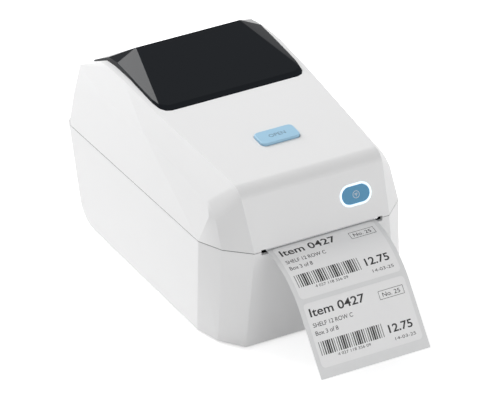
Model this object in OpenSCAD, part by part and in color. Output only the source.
// Desktop thermal label printer with a hinged lid and a roll of labels inside.
// The front looks along -Y, +Z is up, and x = 0 halves the housing.
// Modules are drawn with y = 0 at the front face and z = 0 under the feet.
// in_frame() then moves them so that the origin is under the middle of the whole part.

/* [Housing] */
// Width of the housing
body_w = 138; // [137:0.5:142]
// Depth of the housing
body_d = 206; // [205:1:212]
// Width of the flat front face at the parting line
front_w = 94; // [92:1:98]
// Width of the flat front face at the bottom
front_base_w = 106; // [100:1:110]
// Height of the parting line at the front
seam_front_z = 66; // [65.8:0.1:66.3]
// Drop of the parting line from front to rear
seam_drop = 3.4; // [3:0.1:3.8]
// Gap between the two half shells at the parting line
seam_gap = 0.5; // [0.3:0.1:0.7]
// Wall of the two half shells
wall = 2.4; // [2:0.1:2.6]
// Thickness of the housing's floor
floor_t = 2.5; // [2:0.1:3]
// Height of the edge between the front face and the top
brow_z = 103; // [102:0.5:105]
// Depth of that edge behind the front face
brow_y = 14.3; // [13:0.1:16]
// Height of the top at the front edge of the window
window_z = 111.3; // [110:0.1:113]
// Height of the ridge of the window
ridge_z = 123.8; // [121:0.1:126]
// Height of the lower edge of the lid's side bevel
bevel_z = 98.3; // [96:0.1:100]
// How far the lid's sides lean in up to that edge
side_lean = 6.4; // [5:0.1:7]
// Radius of the rounded heel at the bottom of the rear wall
heel_r = 18; // [14:1:20]
// How far the rear wall leans in down to the heel
heel_in = 12.5; // [10:0.5:14]
// Cut across the rear corners
rear_corner = 6; // [4:0.5:7]

/* [Feet] */
// Diameter of a rubber foot
foot_d = 12; // [9:1:15]
// How far a foot stands below the floor
foot_h = 1.5; // [1.2:0.1:2]
// Depth of the recess that a foot sits in
foot_recess = 1; // [0.6:0.1:1.4]

/* [Hinge] */
// Radius of the hinge barrel
hinge_r = 3.6; // [3.2:0.1:3.8]
// Half length of the lid's barrel
barrel_half = 48; // [42:1:52]
// Diameter of a hinge pin
hinge_pin_d = 2.5; // [2:0.1:3]

/* [Labels] */
// Width of the backing paper
liner_w = 76; // [70:1:77]
// Thickness of the backing paper
liner_t = 0.2; // [0.15:0.01:0.25]
// Width of a label
label_w = 70; // [60:1:74]
// Length of a label
label_len = 40; // [25:1:42]
// Gap between two labels
label_gap = 3; // [2:0.5:4]
// Thickness of a label
label_t = 0.15; // [0.1:0.01:0.2]
// Backing paper past the last label
tail_len = 6.5; // [3:0.5:8]
// Angle of the web at the tear edge
web_angle = 6; // [5:0.5:7]
// Radius of the web's bend in front of the printer
web_bend_r = 59; // [50:1:65]
// Slope of the web's free end
droop_angle = 52; // [45:1:58]
// Straight length of the web's free end
droop_len = 41.3; // [30:0.1:44]
// Height of the web's underside at the front face
exit_z = 64.7; // [64.6:0.05:64.8]
// Outer radius of the roll
roll_r = 40; // [30:1:41]
// Inner radius of the cardboard core
core_in_r = 12.7; // [12.6:0.1:13]
// Wall of the cardboard core
core_t = 2.3; // [1.5:0.1:3]

/* [Print mechanism] */
// Radius of the rubber platen
platen_r = 6; // [5.5:0.1:6.2]
// Distance from the front face to the platen's axis
platen_y = 16; // [15.5:0.1:17]
// Diameter of the platen's steel shaft
platen_shaft_d = 5; // [4:0.5:6]
// Outer diameter of a platen bush
bush_d = 8; // [7.5:0.5:9]
// Half distance between the steel side plates
frame_half = 44; // [43:0.5:44.5]
// Thickness of the steel side plates
plate_t = 1.5; // [1:0.1:1.8]
// Module of the gears
gear_m = 0.8; // [0.78:0.01:0.82]
// Teeth of the platen gear
platen_teeth = 14; // [13:1:15]
// Teeth of the idler gear
idler_teeth = 32; // [30:1:33]
// Teeth of the motor's pinion
pinion_teeth = 12; // [12:1:14]
// Width of the gears
gear_w = 5; // [4:0.5:5]
// Diameter of the stepper motor
motor_d = 35; // [30:1:36]
// Length of the stepper motor
motor_len = 18; // [15:1:22]
// Width of the heated strip of the print head
head_w = 78; // [76:1:80]
// Thickness of the ceramic strip
head_t = 1; // [0.8:0.1:1.2]
// Thickness of the head's aluminium carrier
sink_t = 4; // [3.5:0.1:4.2]
// Free lift of the print head
head_lift = 1; // [0.6:0.1:1]

/* [Roll holders] */
// Radius of the round end of a roll holder
holder_r = 17; // [16:1:19]
// Thickness of a roll holder
holder_t = 3; // [2.5:0.1:3.5]
// Outward travel of a roll holder
holder_travel = 10; // [6:0.5:10]
// Module of the racks and their pinion
rack_m = 0.9; // [0.85:0.01:0.95]
// Teeth of the pinion between the racks
rack_teeth = 14; // [13:1:15]
// Inner radius of the roll well
well_r = 46; // [45:0.5:46.5]
// Distance from the housing's side to the roll well
well_side = 12; // [11:0.5:13]

/* [Controls] */
// Width of the lid button
open_w = 27; // [24:0.5:32]
// Length of the lid button
open_l = 13.5; // [11:0.5:16]
// Height of the lid button above the lid
open_proud = 1.6; // [1:0.1:2]
// Travel of the lid button
open_travel = 2.5; // [2.3:0.1:2.6]
// Distance from the front face to the lid button's centre
open_y = 56; // [54:0.5:57]
// Width of the feed button
feed_w = 18.8; // [17:0.1:21]
// Height of the feed button
feed_h = 10.6; // [10:0.1:13]
// Sideways place of the feed button
feed_x = 26.9; // [22:0.1:28]
// Height of the feed button's centre
feed_z = 83; // [82:0.1:84]
// Width of the light ring's visible band
ring_band = 1.2; // [0.8:0.1:1.4]
// Travel of the feed button
feed_travel = 0.8; // [0.5:0.1:0.8]

/* [Hidden] */

fit = 0.05; // radial clearance of a turning shaft
seat = 0.02; // radial clearance of a fixed pin
gap = 0.3; // clearance between pieces that move past each other
half_w = body_w / 2;
window_y = 114; // front edge of the window
well_half = half_w - well_side;
seam_slope = seam_drop / body_d;
top_slope = (window_z - brow_z) / (window_y - brow_y);
top_angle = atan(top_slope);
front_lean = atan(brow_y / (brow_z - seam_front_z));
floor_z = foot_h + floor_t;
// Two facets turn the front face into each side: where they meet, from the side and from the front,
// and where the side begins, at the parting line and at the bottom
seam_facet = [7.3, 13.9];
seam_side_y = 30.4;
base_facet = [4.7, 14.6];
base_side_y = 32.4;

function seam_z(y) = seam_front_z - seam_slope * y;
function top_z(y) = brow_z + top_slope * (y - brow_y);
function both_sides(points) = concat(points, [for (p = points) [-p.x, p.y, p.z]]);
// A hollow that leaves a wall of t all round: the shape drawn in towards its middle plane
function drawn_in(points, t) =
    [for (p = points) [
        p.x * (half_w - t) / half_w,
        (p.y - body_d / 2) * (body_d - 2 * t) / body_d + body_d / 2,
        p.z]];

// Hinge
hinge_y = body_d - hinge_r;
hinge_z = seam_z(hinge_y);
hinge_gap = 0.4; // clearance between the lid's barrel and the knuckles

// Web of labels: a straight run, a bend in front of the printer and a straight free end
web_t = liner_t + label_t;
bend_y = web_bend_r * sin(web_angle);
bend_z = exit_z - web_bend_r * cos(web_angle);
web_front = bend_y - (web_bend_r + liner_t) * sin(droop_angle) - droop_len * cos(droop_angle);
frame_y = (body_d + web_front) / 2;
function bend_point(angle, r) = [bend_y - r * sin(angle), bend_z + r * cos(angle)];
function run_point(y, lift) =
    [y - lift * sin(web_angle), exit_z + y * tan(web_angle) + lift * cos(web_angle)];
function tail_point(s, r) = bend_point(droop_angle, r) - s * [cos(droop_angle), sin(droop_angle)];

// Slot for the web, and the notch above it for the tear bar
slot_half = liner_w / 2 + 4.2;
slot_drop = 1.3; // below the web's underside
tear_up = 0.8; // above the parting line

// Platen, placed so that the web passes just over it
platen_gap = 0.15;
platen_z = exit_z + platen_y * tan(web_angle) - (platen_r + platen_gap) / cos(web_angle);
web_lift = platen_r + platen_gap; // underside of the web above the platen's axis

// Roll, and the bar that turns the web down towards the platen
roll_back = 74; // distance from the rear to the roll's axis
roll_y = body_d - roll_back;
roll_z = 60;
bar_r = 2;
bar_ear = 4; // half width of the ears that hold the bar
bar_y = 48;
bar_reach = bar_r + gap + web_t;
bar_z = exit_z + bar_y * tan(web_angle) + bar_reach / cos(web_angle);
wrap_r = roll_r + gap;
bar_to_roll = [roll_y - bar_y, roll_z - bar_z];
climb_angle = atan(bar_to_roll.y / bar_to_roll.x) + asin((bar_reach + wrap_r) / norm(bar_to_roll));

// Gear train on the left side plate
tooth_out = 0.8; // height of a tooth above the pitch circle, in modules
tooth_in = 1.05; // depth below it
backlash = 0.08;
gear_x = frame_half + plate_t + 2;
idler_dir = -50;
idler_y = platen_y + gear_m * (platen_teeth + idler_teeth) / 2 * cos(idler_dir);
idler_z = platen_z + gear_m * (platen_teeth + idler_teeth) / 2 * sin(idler_dir);
motor_dir = -10;
motor_y = idler_y + gear_m * (idler_teeth + pinion_teeth) / 2 * cos(motor_dir);
motor_z = idler_z + gear_m * (idler_teeth + pinion_teeth) / 2 * sin(motor_dir);
stud_r = 2;
motor_shaft_r = 1.5;
pilot_r = 4.5;
motor_end = 3; // end wall of the motor
half_turn = 180;

// Feet
foot_x = 52;
foot_y = [38, roll_y + 18];

// Steel frame
frame_low = 22;
frame_front = 6;
frame_back = 62;
frame_top = seam_z(platen_y) - 0.4;
frame_post_x = frame_half - 6;
frame_post_y = [14, 54];
catch_y = 36;
catch_z = 62.8;
catch_r = 2;

// Latch
latch_y = 33;
latch_z = 84;
latch_r = 2;
hook_t = 2;
arm_w = 8;
boss_r = 3.4;
hook_bite = open_travel - 0.5; // the hooks let go before the lid button's travel ends

// Print head, in a frame centred on the platen's axis and tilted with the web
head_z = web_lift + web_t + platen_gap;
head_front = -4;
sink_z = head_z + head_t;
sink_back = 22;
spring_solid = 4.35; // length of a head spring when its turns touch
bracket_gap = head_lift + spring_solid;
bracket_z = sink_z + sink_t + bracket_gap;
bracket_t = 1.2;
bracket_front = 3;
bracket_back = 27;
bracket_half = frame_half + 3.4;
hook_x = (bracket_half + half_w - side_lean - hook_t) / 2; // midway between the bracket and the lid's side
latch_half = hook_x + hook_t + 1;
head_screw_x = 34;
head_screw_y = 12;
head_screw_r = 1.5;
post_x = 20;
post_y = 10;
post_r = 3.5;

// Bay
bay_top = roll_z;
bay_flange = 2.4;
bay_wall = 2.4;
bay_half = half_w - wall - 1;
bay_front = frame_back + 0.5;
bay_back = body_d - 9;
bay_screw_x = bay_half - 3;
bay_post_r = 2.8;
bay_screw_y = [66, roll_y + 36];
screw_r = 1.5;
screw_head_r = 2.6;
screw_head_h = 1.6;

// Racks
rack_r = rack_m * rack_teeth / 2;
rack_z = floor_z + 2.6;
rack_t = 3;
rack_back = 4;
holder_x = liner_w / 2 + 0.6;
holder_foot = 10;
hub_len = 8;
hub_gap = 0.1;
stem_w = 7;
slot_w = stem_w + 1;

// Boards
board_z = 8.5;
board_t = 1.6;
board_half = 33;
board_front = 12;
board_back = 92;
board_screw = [29, 6];
port_board_z = 14;
port_front = body_d - 34;
port_back = body_d - 16;
port_face = body_d - heel_in;
port_board_half = 32;
port_post_x = 24;
port_z = port_board_z + board_t;
port_h = 11;
port_play = 0.4;
power_x = 22;
jack_half = 4.5;
usb_x = 6;
usb_half = 6;

// Lid inside
liner_z = 68.5;
liner_plate_t = 2;
lid_post_x = half_w - 8;
lid_post_y = [72, body_d - 30];
window_t = 2;
window_half = 51;
sleeve_t = 1.7;
sleeve_h = 7.5;
sleeve_out = gap + sleeve_t;
open_flange_t = 1.5;
open_corner = 3;
stem_len = 13;
feed_flange_t = 1.3;
ring_flange = 1.3;
ring_seat = wall + gap;
ring_flange_t = 1;
feed_flange_z = -ring_seat - ring_flange_t - gap;
feed_board_z = -10;
feed_board_t = 1.2;
ring_out = gap + ring_band + ring_flange;
feed_post_x = feed_w / 2 + ring_out + 2.4;

module in_frame() translate([0, -frame_y, 0]) children();
module hull_of(points) hull() polyhedron(points = points, faces = [[for (i = [0:len(points) - 1]) i]]);
// A flat outline in y and z, carried along x from x0 to x1
module along_x(x0, x1) translate([x0, 0, 0]) rotate([90, 0, 90]) linear_extrude(x1 - x0) children();
module rod(x0, x1, y, z, r) along_x(x0, x1) translate([y, z]) circle(r = r, $fn = 48);
module box(x0, x1, y0, y1, z0, z1) translate([x0, y0, z0]) cube([x1 - x0, y1 - y0, z1 - z0]);
module post(x, y, z0, z1, r) translate([x, y, z0]) cylinder(r = r, h = z1 - z0, $fn = 48);
module two_sides() for (side = [0, 1]) mirror([side, 0, 0]) children();
module stadium(w, h) for (side = [-1, 1]) {
    translate([side * (w - h) / 2, 0]) circle(d = h, $fn = 48);
    square([w - h, h], center = true);
}
module rounded(w, l, r) {
    square([w - 2 * r, l], center = true);
    square([w, l - 2 * r], center = true);
    for (sx = [-1, 1], sy = [-1, 1]) translate([sx * (w / 2 - r), sy * (l / 2 - r)]) circle(r = r, $fn = 48);
}
// Frames of the lid's top, of its front face and of the print head
module on_top(y) translate([0, y, top_z(y)]) rotate([top_angle, 0, 0]) children();
module on_front(x, z)
    translate([x, (z - seam_front_z) * tan(front_lean), z]) rotate([90 - front_lean, 0, 0]) children();
module at_head() translate([0, platen_y, platen_z]) rotate([web_angle, 0, 0]) children();

// Involute gear outline with a tooth on the +x axis
function involute(a) = tan(a) * 180 / PI - a;
function flank(teeth, m, r) =
    let (base_r = teeth * m / 2 * cos(20))
    90 / teeth - backlash / (teeth * m) * 180 / PI
    + involute(20) - (r > base_r ? involute(acos(base_r / r)) : 0);
module gear_outline(teeth, m) {
    pitch_r = teeth * m / 2;
    root_r = pitch_r - tooth_in * m;
    tip_r = pitch_r + tooth_out * m;
    steps = 5;
    radii = [for (i = [0:steps]) root_r + (tip_r - root_r) * i / steps];
    polygon([for (k = [0:teeth - 1]) each concat(
        [for (r = radii) let (a = k * 360 / teeth - flank(teeth, m, r)) r * [cos(a), sin(a)]],
        [for (i = [steps:-1:0]) let (r = radii[i], a = k * 360 / teeth + flank(teeth, m, r))
            r * [cos(a), sin(a)]])]);
}
module gear_on(x0, y, z, teeth, turn, bore_r)
    along_x(x0, x0 + gear_w) translate([y, z]) difference() {
        rotate(turn) gear_outline(teeth, gear_m);
        circle(r = bore_r, $fn = 48);
    }

// Helical spring of round wire, standing on z = 0
module coil(r, wire_r, length, turns) {
    sides = 6;
    per_turn = 14;
    rings = turns * per_turn;
    rise = (length - 2 * wire_r) / rings;
    points = [for (i = [0:rings], j = [0:sides - 1])
        let (a = i * 360 / per_turn, b = j * 360 / sides, d = r + wire_r * cos(b))
        [d * cos(a), d * sin(a), wire_r + i * rise + wire_r * sin(b)]];
    sides_faces = [for (i = [0:rings - 1], j = [0:sides - 1])
        let (a = i * sides + j, b = i * sides + (j + 1) % sides)
        each [[a, b + sides, b], [a, a + sides, b + sides]]];
    polyhedron(points = points, faces = concat(sides_faces,
        [[for (j = [0:sides - 1]) j], [for (j = [sides - 1:-1:0]) rings * sides + j]]));
}

// Outer form of the lower half: a bottom outline, the rounded heel and the parting line
function seam_outline() = [
    [front_w / 2, 0], [half_w - seam_facet.x, seam_facet.y], [half_w, seam_side_y],
    [half_w, body_d - rear_corner], [half_w - rear_corner, body_d]];
function heel_y(a) = body_d - heel_in - heel_r * (1 - sin(a));
function base_points(lift, rise) = both_sides(concat(
    [[front_base_w / 2, 0, foot_h + lift], [half_w - base_facet.x, base_facet.y, foot_h + lift],
        [half_w, base_side_y, foot_h + lift]],
    [for (a = [0:15:90]) let (z = foot_h + lift + (heel_r - lift) * (1 - cos(a)))
        each [[half_w, heel_y(a) - rear_corner, z], [half_w - rear_corner, heel_y(a), z]]],
    [for (p = seam_outline()) [p.x, p.y, seam_z(p.y) + rise]]));

// Outer form of the lid, facet by facet from the front
function seam_ring(low) = [for (p = seam_outline()) [p.x, p.y, seam_z(p.y) - low]];
function lid_points(drop) = both_sides(concat(
    seam_ring(0),
    [
        [front_w / 2 + 1.8, brow_y, brow_z - drop],
        [half_w - 7.9, 26, brow_z - 14.2 - drop],
        [half_w - side_lean, 111, bevel_z - drop],
        [half_w - side_lean, body_d - 34, bevel_z - drop],
        [half_w - 3.5, body_d - 7, bevel_z - 12.8 - drop],
        [half_w - 9, body_d - 5.2, bevel_z + 4.2 - drop],
        [54.5, window_y, window_z - drop],
        [55.4, window_y + 36, window_z + 2.9 - drop],
        [55.4, body_d - 36, window_z + 2.7 - drop],
        [55.4, body_d - 25, window_z + 1.3 - drop]
    ]));

// The hollow of the lid, open towards the lower half
module lid_hollow(t) {
    hull_of(drawn_in(lid_points(t), t));
    hull_of(drawn_in(both_sides(concat(seam_ring(-1), seam_ring(5))), t));
}

// Dark window: a ridge at the rear, a bevel on each side and a slope down to the lid's rear edge
function window_points(in, drop) = both_sides([
    [44.5 - in, window_y - 1.7 + in, window_z + 1.3 - drop],
    [49.7 - in, window_y + 1.4 + in, window_z + 1.9 - drop],
    [50.8 - in, window_y + 8 + in, window_z + 2.4 - drop],
    [window_half - in, window_y + 22, window_z + 3.7 - drop],
    [window_half - in, window_y + 36, window_z + 5.1 - drop],
    [window_half - in, body_d - 39, window_z + 6.4 - drop],
    [window_half - in, body_d - 27, window_z + 4.8 - drop],
    [window_half - in, body_d - 7 - in, window_z - 6.8 - drop],
    [36.9, body_d - 36.9, ridge_z - drop]]);
// Foot of the window's sloping rim, on the lid's top
function window_rim() = both_sides([
    for (p = [[44.5, -5.9], [48, -4.6], [50.4, -1], [window_half + 0.5, 6], [window_half + 0.5, 22]])
        [p.x, window_y + p.y, top_z(window_y + p.y)]]);

module base_shell() color("white") in_frame() {
    difference() {
        union() {
            difference() {
                hull_of(base_points(0, -seam_gap));
                hull_of(drawn_in(base_points(floor_t, 2), wall));
                rod(-barrel_half - hinge_gap, barrel_half + hinge_gap, hinge_y, hinge_z, hinge_r + hinge_gap);
                // Room for the lid's rear wall when the lid stands open
                box(-half_w, half_w, hinge_y + 1.5, body_d + 1, hinge_z - hinge_r - gap, hinge_z + 5);
            }
            // Hinge knuckles, cut to the outline of the rear corners
            two_sides() intersection() {
                rod(barrel_half + hinge_gap, half_w, hinge_y, hinge_z, hinge_r);
                translate([0, 0, hinge_z - 10]) linear_extrude(20)
                    polygon([[barrel_half, hinge_y - 2 * hinge_r], [half_w, hinge_y - 2 * hinge_r],
                        [half_w, body_d - rear_corner], [half_w - rear_corner, body_d],
                        [barrel_half, body_d]]);
            }
            // Posts for the bay, the steel frame and the boards
            for (y = bay_screw_y) two_sides()
                post(bay_screw_x, y, floor_z - 1, bay_top - bay_flange, bay_post_r);
            for (y = frame_post_y) two_sides() post(frame_post_x, y, floor_z - 1, frame_low, 3);
            for (y = [board_front + board_screw.y, board_back - board_screw.y])
                two_sides() post(board_screw.x, y, floor_z - 1, board_z, 2.8);
            two_sides() post(port_post_x, port_front + 4, floor_z - 1, port_board_z, 2.8);
            // Rails under the racks and the stud of their pinion
            for (y = [roll_y - rack_r - rack_back - 0.5, roll_y + rack_r + rack_back - 1.5])
                box(-half_w + 14, half_w - 14, y, y + 2, floor_z - 0.5, rack_z - gap);
            post(0, roll_y, floor_z - 0.5, rack_z + rack_t + 1, stud_r);
            post(0, roll_y, floor_z - 0.5, rack_z - gap, stud_r + 2);
        }
        // Slot for the web, lower than the parting line between the ends of the tear bar
        box(-slot_half, slot_half, -1, wall + 3, exit_z - slot_drop, seam_front_z + 2);
        for (y = foot_y) two_sides() post(foot_x, y, foot_h - 1, foot_h + foot_recess, foot_d / 2 + 0.2);
        for (y = bay_screw_y) two_sides()
            post(bay_screw_x, y, bay_top - bay_flange - 9, bay_top + 1, screw_r);
        for (y = frame_post_y) two_sides() post(frame_post_x, y, frame_low - 8, frame_low + 1, screw_r);
        for (y = [board_front + board_screw.y, board_back - board_screw.y])
            two_sides() post(board_screw.x, y, board_z - 3.2, board_z + 1, 1);
        // Rear openings for the sockets
        for (port = [[-power_x, jack_half], [usb_x, usb_half]])
            box(port.x - port.y - port_play, port.x + port.y + port_play, port_face - 8, body_d,
                port_z - gap, port_z + port_h + gap);
        two_sides() rod(barrel_half - 1, half_w - rear_corner, hinge_y, hinge_z, hinge_pin_d / 2 + seat);
    }
}
module rubber_feet() color("dimgray") in_frame() {
    edge = 0.6;
    for (y = foot_y) two_sides() translate([foot_x, y, 0]) rotate_extrude($fn = 48) polygon([
        [0, 0], [foot_d / 2 - edge, 0], [foot_d / 2, edge],
        [foot_d / 2, foot_h + foot_recess], [0, foot_h + foot_recess]]);
}

module media_bay() color("dimgray") in_frame() {
    outer_r = well_r + bay_wall;
    low = bay_top - bay_flange;
    difference() {
        union() {
            // Half round well with end walls
            intersection() {
                rod(-well_half - bay_wall, well_half + bay_wall, roll_y, roll_z, outer_r);
                box(-half_w, half_w, 0, body_d, 0, bay_top);
            }
            box(-bay_half, bay_half, bay_front, bay_back, low, bay_top);
        }
        rod(-well_half, well_half, roll_y, roll_z, well_r);
        two_sides() box(holder_x - 0.4, holder_x + holder_t + holder_travel + 0.6,
            roll_y - slot_w / 2, roll_y + slot_w / 2, 0, roll_z - 10);
        for (y = bay_screw_y) two_sides() post(bay_screw_x, y, low - 1, bay_top + 1, screw_r + 0.2);
    }
}

module bay_screws() color("silver") in_frame()
    for (y = bay_screw_y) two_sides() {
        post(bay_screw_x, y, bay_top - bay_flange - 8, bay_top, screw_r - seat);
        post(bay_screw_x, y, bay_top, bay_top + screw_head_h, screw_head_r);
    }

module hinge_pins() color("silver") in_frame()
    two_sides() rod(barrel_half - 9, half_w - rear_corner - 0.5, hinge_y, hinge_z, hinge_pin_d / 2);

// Bent steel frame: two side plates joined by a cross plate
module print_frame() color("silver") in_frame() difference() {
    union() {
        two_sides() along_x(frame_half, frame_half + plate_t) polygon([
            [frame_front, frame_low], [frame_back, frame_low], [frame_back, frame_top - 1.2],
            [bar_y + bar_ear, frame_top - 1.2], [bar_y + bar_ear, bar_z + bar_ear],
            [bar_y - bar_ear, bar_z + bar_ear], [bar_y - bar_ear, frame_top - 0.8],
            [frame_front + 2, frame_top], [frame_front, frame_top - 2]]);
        box(-frame_half - plate_t, frame_half + plate_t, frame_front + 2, frame_back - 2,
            frame_low, frame_low + plate_t);
    }
    two_sides() {
        rod(frame_half - 1, frame_half + plate_t + 1, platen_y, platen_z, bush_d / 2 + seat);
        rod(frame_half - 1, frame_half + plate_t + 1, catch_y, catch_z, catch_r + seat);
        rod(frame_half - 1, frame_half + plate_t + 1, bar_y, bar_z, bar_r + seat);
    }
    rod(-frame_half - plate_t - 1, -frame_half + 1, idler_y, idler_z, stud_r + seat);
    rod(-frame_half - plate_t - 1, -frame_half + 1, motor_y, motor_z, pilot_r + seat);
    for (y = frame_post_y) two_sides()
        post(frame_post_x, y, frame_low - 1, frame_low + plate_t + 1, screw_r + 0.2);
}

module frame_screws() color("silver") in_frame() for (y = frame_post_y) two_sides() {
    post(frame_post_x, y, frame_low - 7, frame_low + plate_t, screw_r - seat);
    post(frame_post_x, y, frame_low + plate_t, frame_low + plate_t + screw_head_h, screw_head_r);
}

module platen_bushes() color("tan") in_frame() two_sides() difference() {
    union() {
        rod(frame_half - 1.2, frame_half, platen_y, platen_z, bush_d / 2 + 0.8);
        rod(frame_half, frame_half + plate_t + 0.3, platen_y, platen_z, bush_d / 2);
    }
    rod(frame_half - 2, frame_half + plate_t + 2, platen_y, platen_z, platen_shaft_d / 2 + fit);
}

module catch_pins() color("silver") in_frame()
    two_sides() rod(frame_half, latch_half, catch_y, catch_z, catch_r);

module guide_bar() color("silver") in_frame()
    rod(-frame_half - plate_t, frame_half + plate_t, bar_y, bar_z, bar_r);

// Plate that carries the web from the bay to the platen
module paper_deck() color("dimgray") in_frame() {
    deck_t = 2;
    below = 0.5;
    front = platen_y + platen_r + 2;
    bend = bar_y + 1;
    back = bay_front + 2;
    deck_half = frame_half - 0.1;
    rise = (back - bend) * tan(climb_angle);
    bend_point_z = run_point(bend, 0).y - below;
    difference() {
        along_x(-deck_half, deck_half) polygon([
            [front, run_point(front, 0).y - below], [bend, bend_point_z], [back, bend_point_z + rise],
            [back, bay_top], [back - deck_t, bay_top], [back - deck_t, bend_point_z + rise - deck_t - 0.8],
            [bend + 0.5, bend_point_z - deck_t], [front + deck_t, run_point(front, 0).y - below - deck_t],
            [front + deck_t, frame_top - 4], [front, frame_top - 4]]);
        post(0, bar_y - 12, 60, 80, 3);
    }
}

module gap_sensor() color("black") in_frame() {
    low = run_point(bar_y - 12, 0).y - 2.5;
    translate([0, bar_y - 12, low]) rotate([web_angle, 0, 0]) {
        box(-7, 7, -4.5, 4.5, -3.6, -0.4);
        post(0, 0, -1, 1.6, 2.4);
    }
}

module stepper_motor() color("silver") in_frame() difference() {
    union() {
        rod(-frame_half, -frame_half + motor_len, motor_y, motor_z, motor_d / 2);
        rod(-frame_half - plate_t, -frame_half, motor_y, motor_z, pilot_r);
    }
    rod(-frame_half - plate_t - 1, -frame_half + motor_len - motor_end,
        motor_y, motor_z, motor_shaft_r + fit);
}

module idler_stud() color("silver") in_frame() {
    rod(-gear_x - gear_w - 0.4, -frame_half, idler_y, idler_z, stud_r);
    rod(-gear_x - gear_w - 1.6, -gear_x - gear_w - 0.4, idler_y, idler_z, stud_r + 1);
}

module main_board() color("green") in_frame() difference() {
    box(-board_half, board_half, board_front, board_back, board_z, board_z + board_t);
    for (y = [board_front + board_screw.y, board_back - board_screw.y])
        two_sides() post(board_screw.x, y, board_z - 1, board_z + board_t + 1, 1.2);
}

// Chips, plugs, capacitors and resistors, placed from the front edge of the main board
module board_parts() color("black") in_frame() translate([0, board_front, board_z + board_t]) {
    box(-8, 6, 32, 46, 0, 1.4);
    box(12, 20, 34, 40, 0, 1.2);
    box(-24, -14, 28, 34, 0, 2.2);
    box(-20, -4, 4, 9, 0, 6);
    box(2, 22, 4, 9, 0, 5);
    box(-22, 8, 68, 73, 0, 4.6);
    for (x = [16, 24]) post(x, 54, 0, 10, 3.6);
    for (y = [52, 58, 64]) box(-24, -19, y, y + 3, 0, 1.2);
}

module board_screws() color("silver") in_frame()
    for (y = [board_front + board_screw.y, board_back - board_screw.y]) two_sides() {
        post(board_screw.x, y, board_z - 3, board_z + board_t, 1 - seat);
        post(board_screw.x, y, board_z + board_t, board_z + board_t + 1.2, 2);
    }

module port_board() color("green") in_frame()
    box(-port_board_half, port_board_half, port_front, port_back, port_board_z, port_z);

module power_jack() color("black") in_frame() {
    middle = port_z + 6;
    difference() {
        box(-power_x - jack_half, -power_x + jack_half, port_face - 14, port_face - 0.5,
            port_z, port_z + port_h);
        translate([-power_x, port_face + 1, middle]) rotate([90, 0, 0]) cylinder(r = 3.1, h = 11, $fn = 48);
    }
    translate([-power_x, port_face - 1.5, middle]) rotate([90, 0, 0]) cylinder(r = 1, h = 9, $fn = 48);
}

module usb_port() color("silver") in_frame() {
    mouth_half = usb_half - 1.6;
    tongue_half = 2.9;
    difference() {
        box(usb_x - usb_half, usb_x + usb_half, port_face - 16, port_face - 0.5, port_z, port_z + port_h);
        box(usb_x - mouth_half, usb_x + mouth_half, port_face - 9.5, port_face + 1,
            port_z + 1.5, port_z + 9.5);
    }
    box(usb_x - tongue_half, usb_x + tongue_half, port_face - 9.5, port_face - 2, port_z + 4, port_z + 7.2);
}

// Outline of the web between two distances from its underside, from the roll to the free end
bend_steps = 24;
function bend_run(from, to, r) =
    [for (i = [0:bend_steps]) bend_point(from + (to - from) * i / bend_steps, r)];
function bar_run(r) =
    [for (i = [0:4]) let (a = climb_angle + (web_angle - climb_angle) * i / 4)
        [bar_y + r * sin(a), bar_z - r * cos(a)]];
function roll_run(r) =
    [for (i = [0:8]) let (a = -30 + (climb_angle + 30) * i / 8) [roll_y - r * sin(a), roll_z + r * cos(a)]];

module label_web() color("gainsboro") in_frame() along_x(-liner_w / 2, liner_w / 2) polygon(concat(
    roll_run(wrap_r), bar_run(bar_reach), bend_run(web_angle, droop_angle, web_bend_r),
    [tail_point(droop_len, web_bend_r)],
    [tail_point(droop_len, web_bend_r + liner_t)], bend_run(droop_angle, web_angle, web_bend_r + liner_t),
    [for (i = [4:-1:0]) bar_run(bar_reach - liner_t)[i]],
    [for (i = [8:-1:0]) roll_run(wrap_r + liner_t)[i]]));

// Labels on the free end: the last one lies partly on the bend, the one before it on the bend up to the slot
bend_len = web_bend_r * PI / 180 * (droop_angle - web_angle);
function web_point(s, r) = s < 0 ? run_point(-s, r - web_bend_r)
    : s < bend_len ? bend_point(web_angle + s / web_bend_r * 180 / PI, r) : tail_point(s - bend_len, r);
module label_strip(s0, s1) {
    low = web_bend_r + liner_t + 0.01;
    steps = 24;
    stations = [for (i = [0:steps]) s0 + (s1 - s0) * i / steps];
    along_x(-label_w / 2, label_w / 2) polygon(concat(
        [for (s = stations) web_point(s, low)],
        [for (i = [steps:-1:0]) web_point(stations[i], low + label_t)]));
}
module web_labels() color("white") in_frame() {
    last = bend_len + droop_len - tail_len;
    label_strip(last - label_len, last);
    label_strip(last - 2 * label_len - label_gap, last - label_len - label_gap);
}

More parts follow.
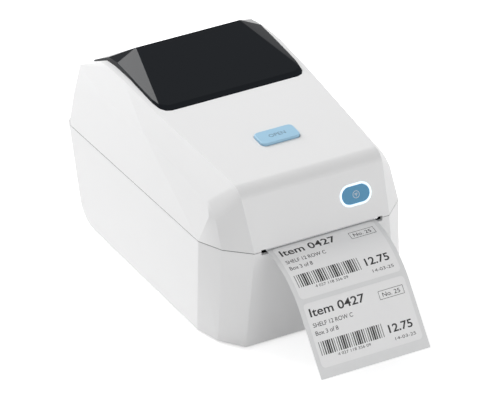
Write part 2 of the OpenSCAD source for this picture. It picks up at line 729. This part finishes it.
module lid_shell() color("white") in_frame() {
    difference() {
        union() {
            difference() {
                hull_of(lid_points(0));
                lid_hollow(wall);
            }
            rod(-barrel_half, barrel_half, hinge_y, hinge_z, hinge_r);
            // Posts under the top, and the sleeve that guides the lid button
            intersection() {
                hull_of(drawn_in(lid_points(wall / 2), wall / 2));
                union() {
                    for (y = lid_post_y) two_sides() post(lid_post_x, y, liner_z + liner_plate_t, ridge_z, 3);
                    at_head() two_sides() post(post_x, post_y, bracket_z + bracket_t, ridge_z, post_r);
                }
            }
            on_top(open_y) translate([0, 0, -sleeve_h]) linear_extrude(sleeve_h - wall / 2)
                rounded(open_w + 2 * sleeve_out, open_l + 2 * sleeve_out, open_corner + sleeve_out);
            on_front(feed_x, feed_z) two_sides()
                post(feed_post_x, 0, feed_board_z + feed_board_t, -wall / 2, 1.8);
        }
        // Opening under the window
        translate([0, 0, liner_z + 15]) linear_extrude(60) polygon([
            [44, window_y + 7], [46, window_y + 36], [46, body_d - 31],
            [-46, body_d - 31], [-46, window_y + 36], [-44, window_y + 7]]);
        on_top(open_y) translate([0, 0, -sleeve_h - 1]) linear_extrude(sleeve_h + 4)
            rounded(open_w + 2 * gap, open_l + 2 * gap, open_corner + gap);
        on_front(feed_x, feed_z) translate([0, 0, -wall - 1]) linear_extrude(wall + 3)
            stadium(feed_w + 2 * (gap + ring_band) + 0.2, feed_h + 2 * (gap + ring_band) + 0.2);
        on_front(feed_x, feed_z) two_sides() post(feed_post_x, 0, feed_board_z, feed_board_z + 6, 0.8);
        // Notch for the tear bar
        box(-slot_half, slot_half, -5, wall + 4, seam_front_z - 3, seam_front_z + tear_up);
        // Room for the knuckles of the lower half, and the bores of the hinge pins
        two_sides() rod(barrel_half, half_w + 1, hinge_y, hinge_z, hinge_r + hinge_gap);
        two_sides() rod(barrel_half - 10, barrel_half + 1, hinge_y, hinge_z, hinge_pin_d / 2 + fit);
        for (y = lid_post_y) two_sides() post(lid_post_x, y, liner_z, liner_z + 9, screw_r);
        at_head() two_sides() post(post_x, post_y, bracket_z, bracket_z + 8, screw_r);
    }
}

module window_cover() color("#20252a") in_frame() difference() {
    hull_of(concat(window_points(0, 0), window_rim(), window_points(0, 12)));
    hull_of(lid_points(0));
    hull_of(concat(window_points(window_t, window_t), window_points(window_t, 14)));
}

module lid_liner() color("gray") in_frame() difference() {
    intersection() {
        lid_hollow(wall + gap);
        box(-half_w, half_w, 8, body_d - 9, liner_z, liner_z + liner_plate_t);
    }
    box(-well_half + 3, well_half - 3, bar_y + 2, body_d - 20, liner_z - 1, liner_z + 5);
    box(-latch_half - 1.5, latch_half + 1.5, 0, frame_back - 6, liner_z - 1, liner_z + 5);
    for (y = lid_post_y) two_sides() post(lid_post_x, y, liner_z - 1, liner_z + 5, screw_r + 0.2);
}

module lid_screws() color("silver") in_frame() {
    for (y = lid_post_y) two_sides() {
        post(lid_post_x, y, liner_z, liner_z + 8, screw_r - seat);
        post(lid_post_x, y, liner_z - screw_head_h, liner_z, screw_head_r);
    }
    at_head() two_sides() {
        post(post_x, post_y, bracket_z - screw_head_h, bracket_z, screw_head_r);
        post(post_x, post_y, bracket_z, bracket_z + 7, screw_r - seat);
    }
}

// Steel tear bar under the lid's front wall, with fine teeth along its lower edge
module tear_bar() color("gray") in_frame() {
    pitch = 1.5;
    teeth = 2 * floor((slot_half - 3) / pitch);
    tear_in = 0.4;
    tear_t = 1;
    top = seam_front_z + tear_up;
    low = exit_z + web_t + 0.6;
    translate([0, tear_in + tear_t, 0]) rotate([90, 0, 0]) linear_extrude(tear_t) polygon(concat(
        [[teeth * pitch / 2, top], [-teeth * pitch / 2, top]],
        [for (i = [0:teeth]) each [[(i - teeth / 2) * pitch, low + 0.5],
            if (i < teeth) [(i - teeth / 2 + 0.5) * pitch, low]]]));
}

module light_ring() color("#dff2ff") in_frame() on_front(feed_x, feed_z) difference() {
    union() {
        translate([0, 0, -ring_seat]) linear_extrude(ring_seat + 0.3)
            stadium(feed_w + 2 * (gap + ring_band), feed_h + 2 * (gap + ring_band));
        translate([0, 0, -ring_seat - ring_flange_t]) linear_extrude(ring_flange_t)
            stadium(feed_w + 2 * ring_out, feed_h + 2 * ring_out);
    }
    translate([0, 0, -ring_seat - 2]) linear_extrude(ring_seat + 4)
        stadium(feed_w + 2 * gap, feed_h + 2 * gap);
}

module button_board() color("green") in_frame() on_front(feed_x, feed_z) {
    difference() {
        box(-feed_post_x - 2, feed_post_x + 2, -6.5, 6.5, feed_board_z, feed_board_z + feed_board_t);
        two_sides() post(feed_post_x, 0, feed_board_z - 1, feed_board_z + 2, 0.8);
    }
    box(-3, 3, -3, 3, feed_board_z + feed_board_t, feed_board_z + feed_board_t + 1.8);
    post(0, 0, feed_board_z + feed_board_t, feed_flange_z - feed_flange_t - feed_travel - 0.1, 1.7);
}

// Steel bracket that holds the print head and carries the latch shaft
module head_bracket() color("silver") in_frame() difference() {
    at_head() {
        box(-bracket_half, bracket_half, bracket_front, bracket_back, bracket_z, bracket_z + bracket_t);
        two_sides() along_x(bracket_half - bracket_t, bracket_half) polygon([
            [bracket_front, bracket_z - 7], [bracket_back, bracket_z - 7], [bracket_back, bracket_z + 9],
            [bracket_front + 9, bracket_z + 9], [bracket_front, bracket_z + bracket_t]]);
    }
    at_head() two_sides() {
        post(head_screw_x, head_screw_y, bracket_z - 1, bracket_z + 3, head_screw_r + 0.2);
        post(post_x, post_y, bracket_z - 1, bracket_z + 3, screw_r + 0.2);
    }
    two_sides() rod(bracket_half - 3, bracket_half + 1, latch_y, latch_z, latch_r + fit);
}

module latch_spring() color("silver") in_frame()
    translate([18, latch_y, latch_z]) rotate([0, 90, 0]) coil(latch_r + 0.9, 0.4, 6, 5);

module head_springs() color("silver") in_frame() at_head()
    two_sides() translate([head_screw_x, head_screw_y, sink_z + sink_t + 0.05])
        coil(2.7, 0.35, bracket_gap - 0.1, 4);

module open_button() color("#a5c8e1") in_frame() on_top(open_y) {
    bottom = -sleeve_h - gap;
    edge = 0.5;
    flange = 1.2;
    translate([0, 0, bottom]) linear_extrude(-bottom + open_proud - edge)
        rounded(open_w, open_l, open_corner);
    translate([0, 0, open_proud - edge]) linear_extrude(edge)
        rounded(open_w - 2 * edge, open_l - 2 * edge, open_corner - edge);
    translate([0, 0, bottom - open_flange_t]) linear_extrude(open_flange_t)
        rounded(open_w + 2 * flange, open_l + 2 * flange, open_corner);
    post(0, 0, -stem_len, bottom, 2);
}
module latch_shaft() color("silver") in_frame() rod(-latch_half, latch_half, latch_y, latch_z, latch_r);

// Lever under the lid button
module latch_arm() color("dimgray") in_frame() difference() {
    pad_y = open_y + stem_len * sin(top_angle);
    pad_z = top_z(open_y) - stem_len * cos(top_angle) - gap - 0.3;
    pad_rise = 3 * tan(top_angle);
    along_x(-arm_w / 2, arm_w / 2) {
        translate([latch_y, latch_z]) circle(r = boss_r, $fn = 48);
        polygon([[latch_y - 1, latch_z + boss_r - 0.2], [latch_y + 1, latch_z - boss_r + 0.2],
            [pad_y + 3, pad_z - 3], [pad_y + 3, pad_z + pad_rise], [pad_y - 3, pad_z - pad_rise]]);
    }
    rod(-arm_w, arm_w, latch_y, latch_z, latch_r + seat);
}

// Two hooks that reach under the catch pins
module latch_hooks() color("silver") in_frame() two_sides() difference() {
    front = catch_y - catch_r - gap - 4;
    nose_z = catch_z - catch_r - gap;
    along_x(hook_x, hook_x + hook_t) {
        translate([latch_y, latch_z]) circle(r = 4, $fn = 48);
        polygon([[front, latch_z], [front, nose_z - 3], [catch_y - catch_r + hook_bite - 1.4, nose_z - 3],
            [catch_y - catch_r + hook_bite, nose_z - 1.6], [catch_y - catch_r + hook_bite, nose_z],
            [catch_y - catch_r - gap, nose_z], [catch_y - catch_r - gap, latch_z]]);
    }
    rod(hook_x - 1, hook_x + hook_t + 1, latch_y, latch_z, latch_r + seat);
}

module feed_button() color("#5591b9") in_frame() on_front(feed_x, feed_z) {
    proud = 0.6;
    flange = 1.2;
    translate([0, 0, feed_flange_z]) linear_extrude(proud - feed_flange_z) stadium(feed_w, feed_h);
    translate([0, 0, feed_flange_z - feed_flange_t]) linear_extrude(feed_flange_t)
        stadium(feed_w + 2 * flange, feed_h + 2 * flange);
}

module print_head() color("tan") in_frame() at_head()
    box(-head_w / 2, head_w / 2, head_front, 8, head_z, head_z + head_t);

module head_sink() color("silver") in_frame() at_head() difference() {
    box(-head_w / 2 - 1, head_w / 2 + 1, head_front, sink_back, sink_z, sink_z + sink_t);
    two_sides() post(head_screw_x, head_screw_y, sink_z + 0.5, sink_z + sink_t + 1, head_screw_r);
}

module head_screws() color("silver") in_frame() at_head() two_sides() {
    post(head_screw_x, head_screw_y, sink_z + 0.5, bracket_z + bracket_t + 0.1, head_screw_r - seat);
    post(head_screw_x, head_screw_y, bracket_z + bracket_t + 0.1, bracket_z + bracket_t + 1.7, 3);
}

module platen_shaft() color("silver") in_frame()
    rod(-gear_x - gear_w - 0.6, frame_half + plate_t + 1.5, platen_y, platen_z, platen_shaft_d / 2);

module platen_rubber() color("#303030") in_frame() difference() {
    rod(-liner_w / 2 - 1, liner_w / 2 + 1, platen_y, platen_z, platen_r);
    rod(-half_w, half_w, platen_y, platen_z, platen_shaft_d / 2);
}

module platen_gear() color("white") in_frame()
    gear_on(-gear_x - gear_w, platen_y, platen_z, platen_teeth, idler_dir, platen_shaft_d / 2);

// Turns that let a gap of each gear face a tooth of the one before it
idler_turn = idler_dir + half_turn + half_turn / idler_teeth;
pinion_turn = motor_dir + half_turn + half_turn / pinion_teeth
    - (idler_turn - motor_dir) * idler_teeth / pinion_teeth;
module idler_gear() color("white") in_frame()
    gear_on(-gear_x - gear_w, idler_y, idler_z, idler_teeth, idler_turn, stud_r + fit);

module motor_shaft() color("silver") in_frame()
    rod(-gear_x - gear_w - 0.5, -frame_half + motor_len - motor_end - 0.5, motor_y, motor_z, motor_shaft_r);

module motor_pinion() color("gold") in_frame()
    gear_on(-gear_x - gear_w, motor_y, motor_z, pinion_teeth, pinion_turn, motor_shaft_r);

module label_roll() color("whitesmoke") in_frame() difference() {
    rod(-liner_w / 2, liner_w / 2, roll_y, roll_z, roll_r);
    rod(-liner_w, liner_w, roll_y, roll_z, core_in_r + core_t);
}

module roll_core() color("tan") in_frame() difference() {
    rod(-liner_w / 2, liner_w / 2, roll_y, roll_z, core_in_r + core_t);
    rod(-liner_w, liner_w, roll_y, roll_z, core_in_r);
}

// Rack outline along +x with a tooth or a gap at x = 0, teeth towards -y, its back at y = depth
module rack_outline(x0, x1, depth, phase) {
    pitch = PI * rack_m;
    half_tooth = pitch / 4 - backlash;
    lean = tan(20);
    first = ceil((x0 + 1 - phase) / pitch);
    last = floor((x1 - 1 - phase) / pitch);
    deep = tooth_in * rack_m;
    high = tooth_out * rack_m;
    translate([x0, deep]) square([x1 - x0, depth - deep]);
    for (k = [first:last]) translate([phase + k * pitch, 0]) polygon([
        [-half_tooth - deep * lean, deep + 0.1], [-half_tooth + high * lean, -high],
        [half_tooth - high * lean, -high], [half_tooth + deep * lean, deep + 0.1]]);
}

// Roll holder on the +x side: an upright with a hub for the core, and a rack under the well
module holder(rack_side) {
    inner = holder_x;
    outer = holder_x + holder_t;
    foot_z = roll_z - sqrt(well_r * well_r - holder_foot * holder_foot) + 0.6;
    along_x(inner, outer) {
        translate([roll_y, roll_z]) circle(r = holder_r, $fn = 64);
        translate([roll_y - holder_foot, foot_z]) square([2 * holder_foot, roll_z - foot_z]);
        translate([roll_y - stem_w / 2, rack_z]) square([stem_w, roll_z - rack_z]);
    }
    rod(inner - hub_len, inner, roll_y, roll_z, core_in_r - hub_gap);
    y0 = rack_side > 0 ? roll_y - stem_w / 2 : roll_y - rack_r - rack_back;
    y1 = rack_side > 0 ? roll_y + rack_r + rack_back : roll_y + stem_w / 2;
    box(inner, outer, y0, y1, rack_z, rack_z + rack_t);
    translate([0, roll_y, rack_z]) linear_extrude(rack_t)
        mirror([0, rack_side > 0 ? 0 : 1, 0]) translate([0, rack_r]) rack_outline(
            -rack_r - holder_travel - 1, outer, rack_back, PI * rack_m / 2);
}

module holder_left() color("dimgray") in_frame() mirror([1, 0, 0]) holder(-1);

module holder_right() color("dimgray") in_frame() holder(1);

module holder_pinion() color("white") in_frame()
    translate([0, roll_y, rack_z]) linear_extrude(rack_t) difference() {
        rotate(90) gear_outline(rack_teeth, rack_m);
        circle(r = stud_r + fit, $fn = 48);
    }

base_shell();
rubber_feet();
media_bay();
bay_screws();
hinge_pins();
print_frame();
frame_screws();
platen_bushes();
catch_pins();
guide_bar();
paper_deck();
gap_sensor();
stepper_motor();
idler_stud();
main_board();
board_parts();
board_screws();
port_board();
power_jack();
usb_port();
label_web();
web_labels();
lid_shell();
window_cover();
lid_liner();
lid_screws();
tear_bar();
light_ring();
button_board();
head_bracket();
latch_spring();
head_springs();
open_button();
latch_shaft();
latch_arm();
latch_hooks();
feed_button();
print_head();
head_sink();
head_screws();
platen_shaft();
platen_rubber();
platen_gear();
idler_gear();
motor_shaft();
motor_pinion();
label_roll();
roll_core();
holder_left();
holder_right();
holder_pinion();
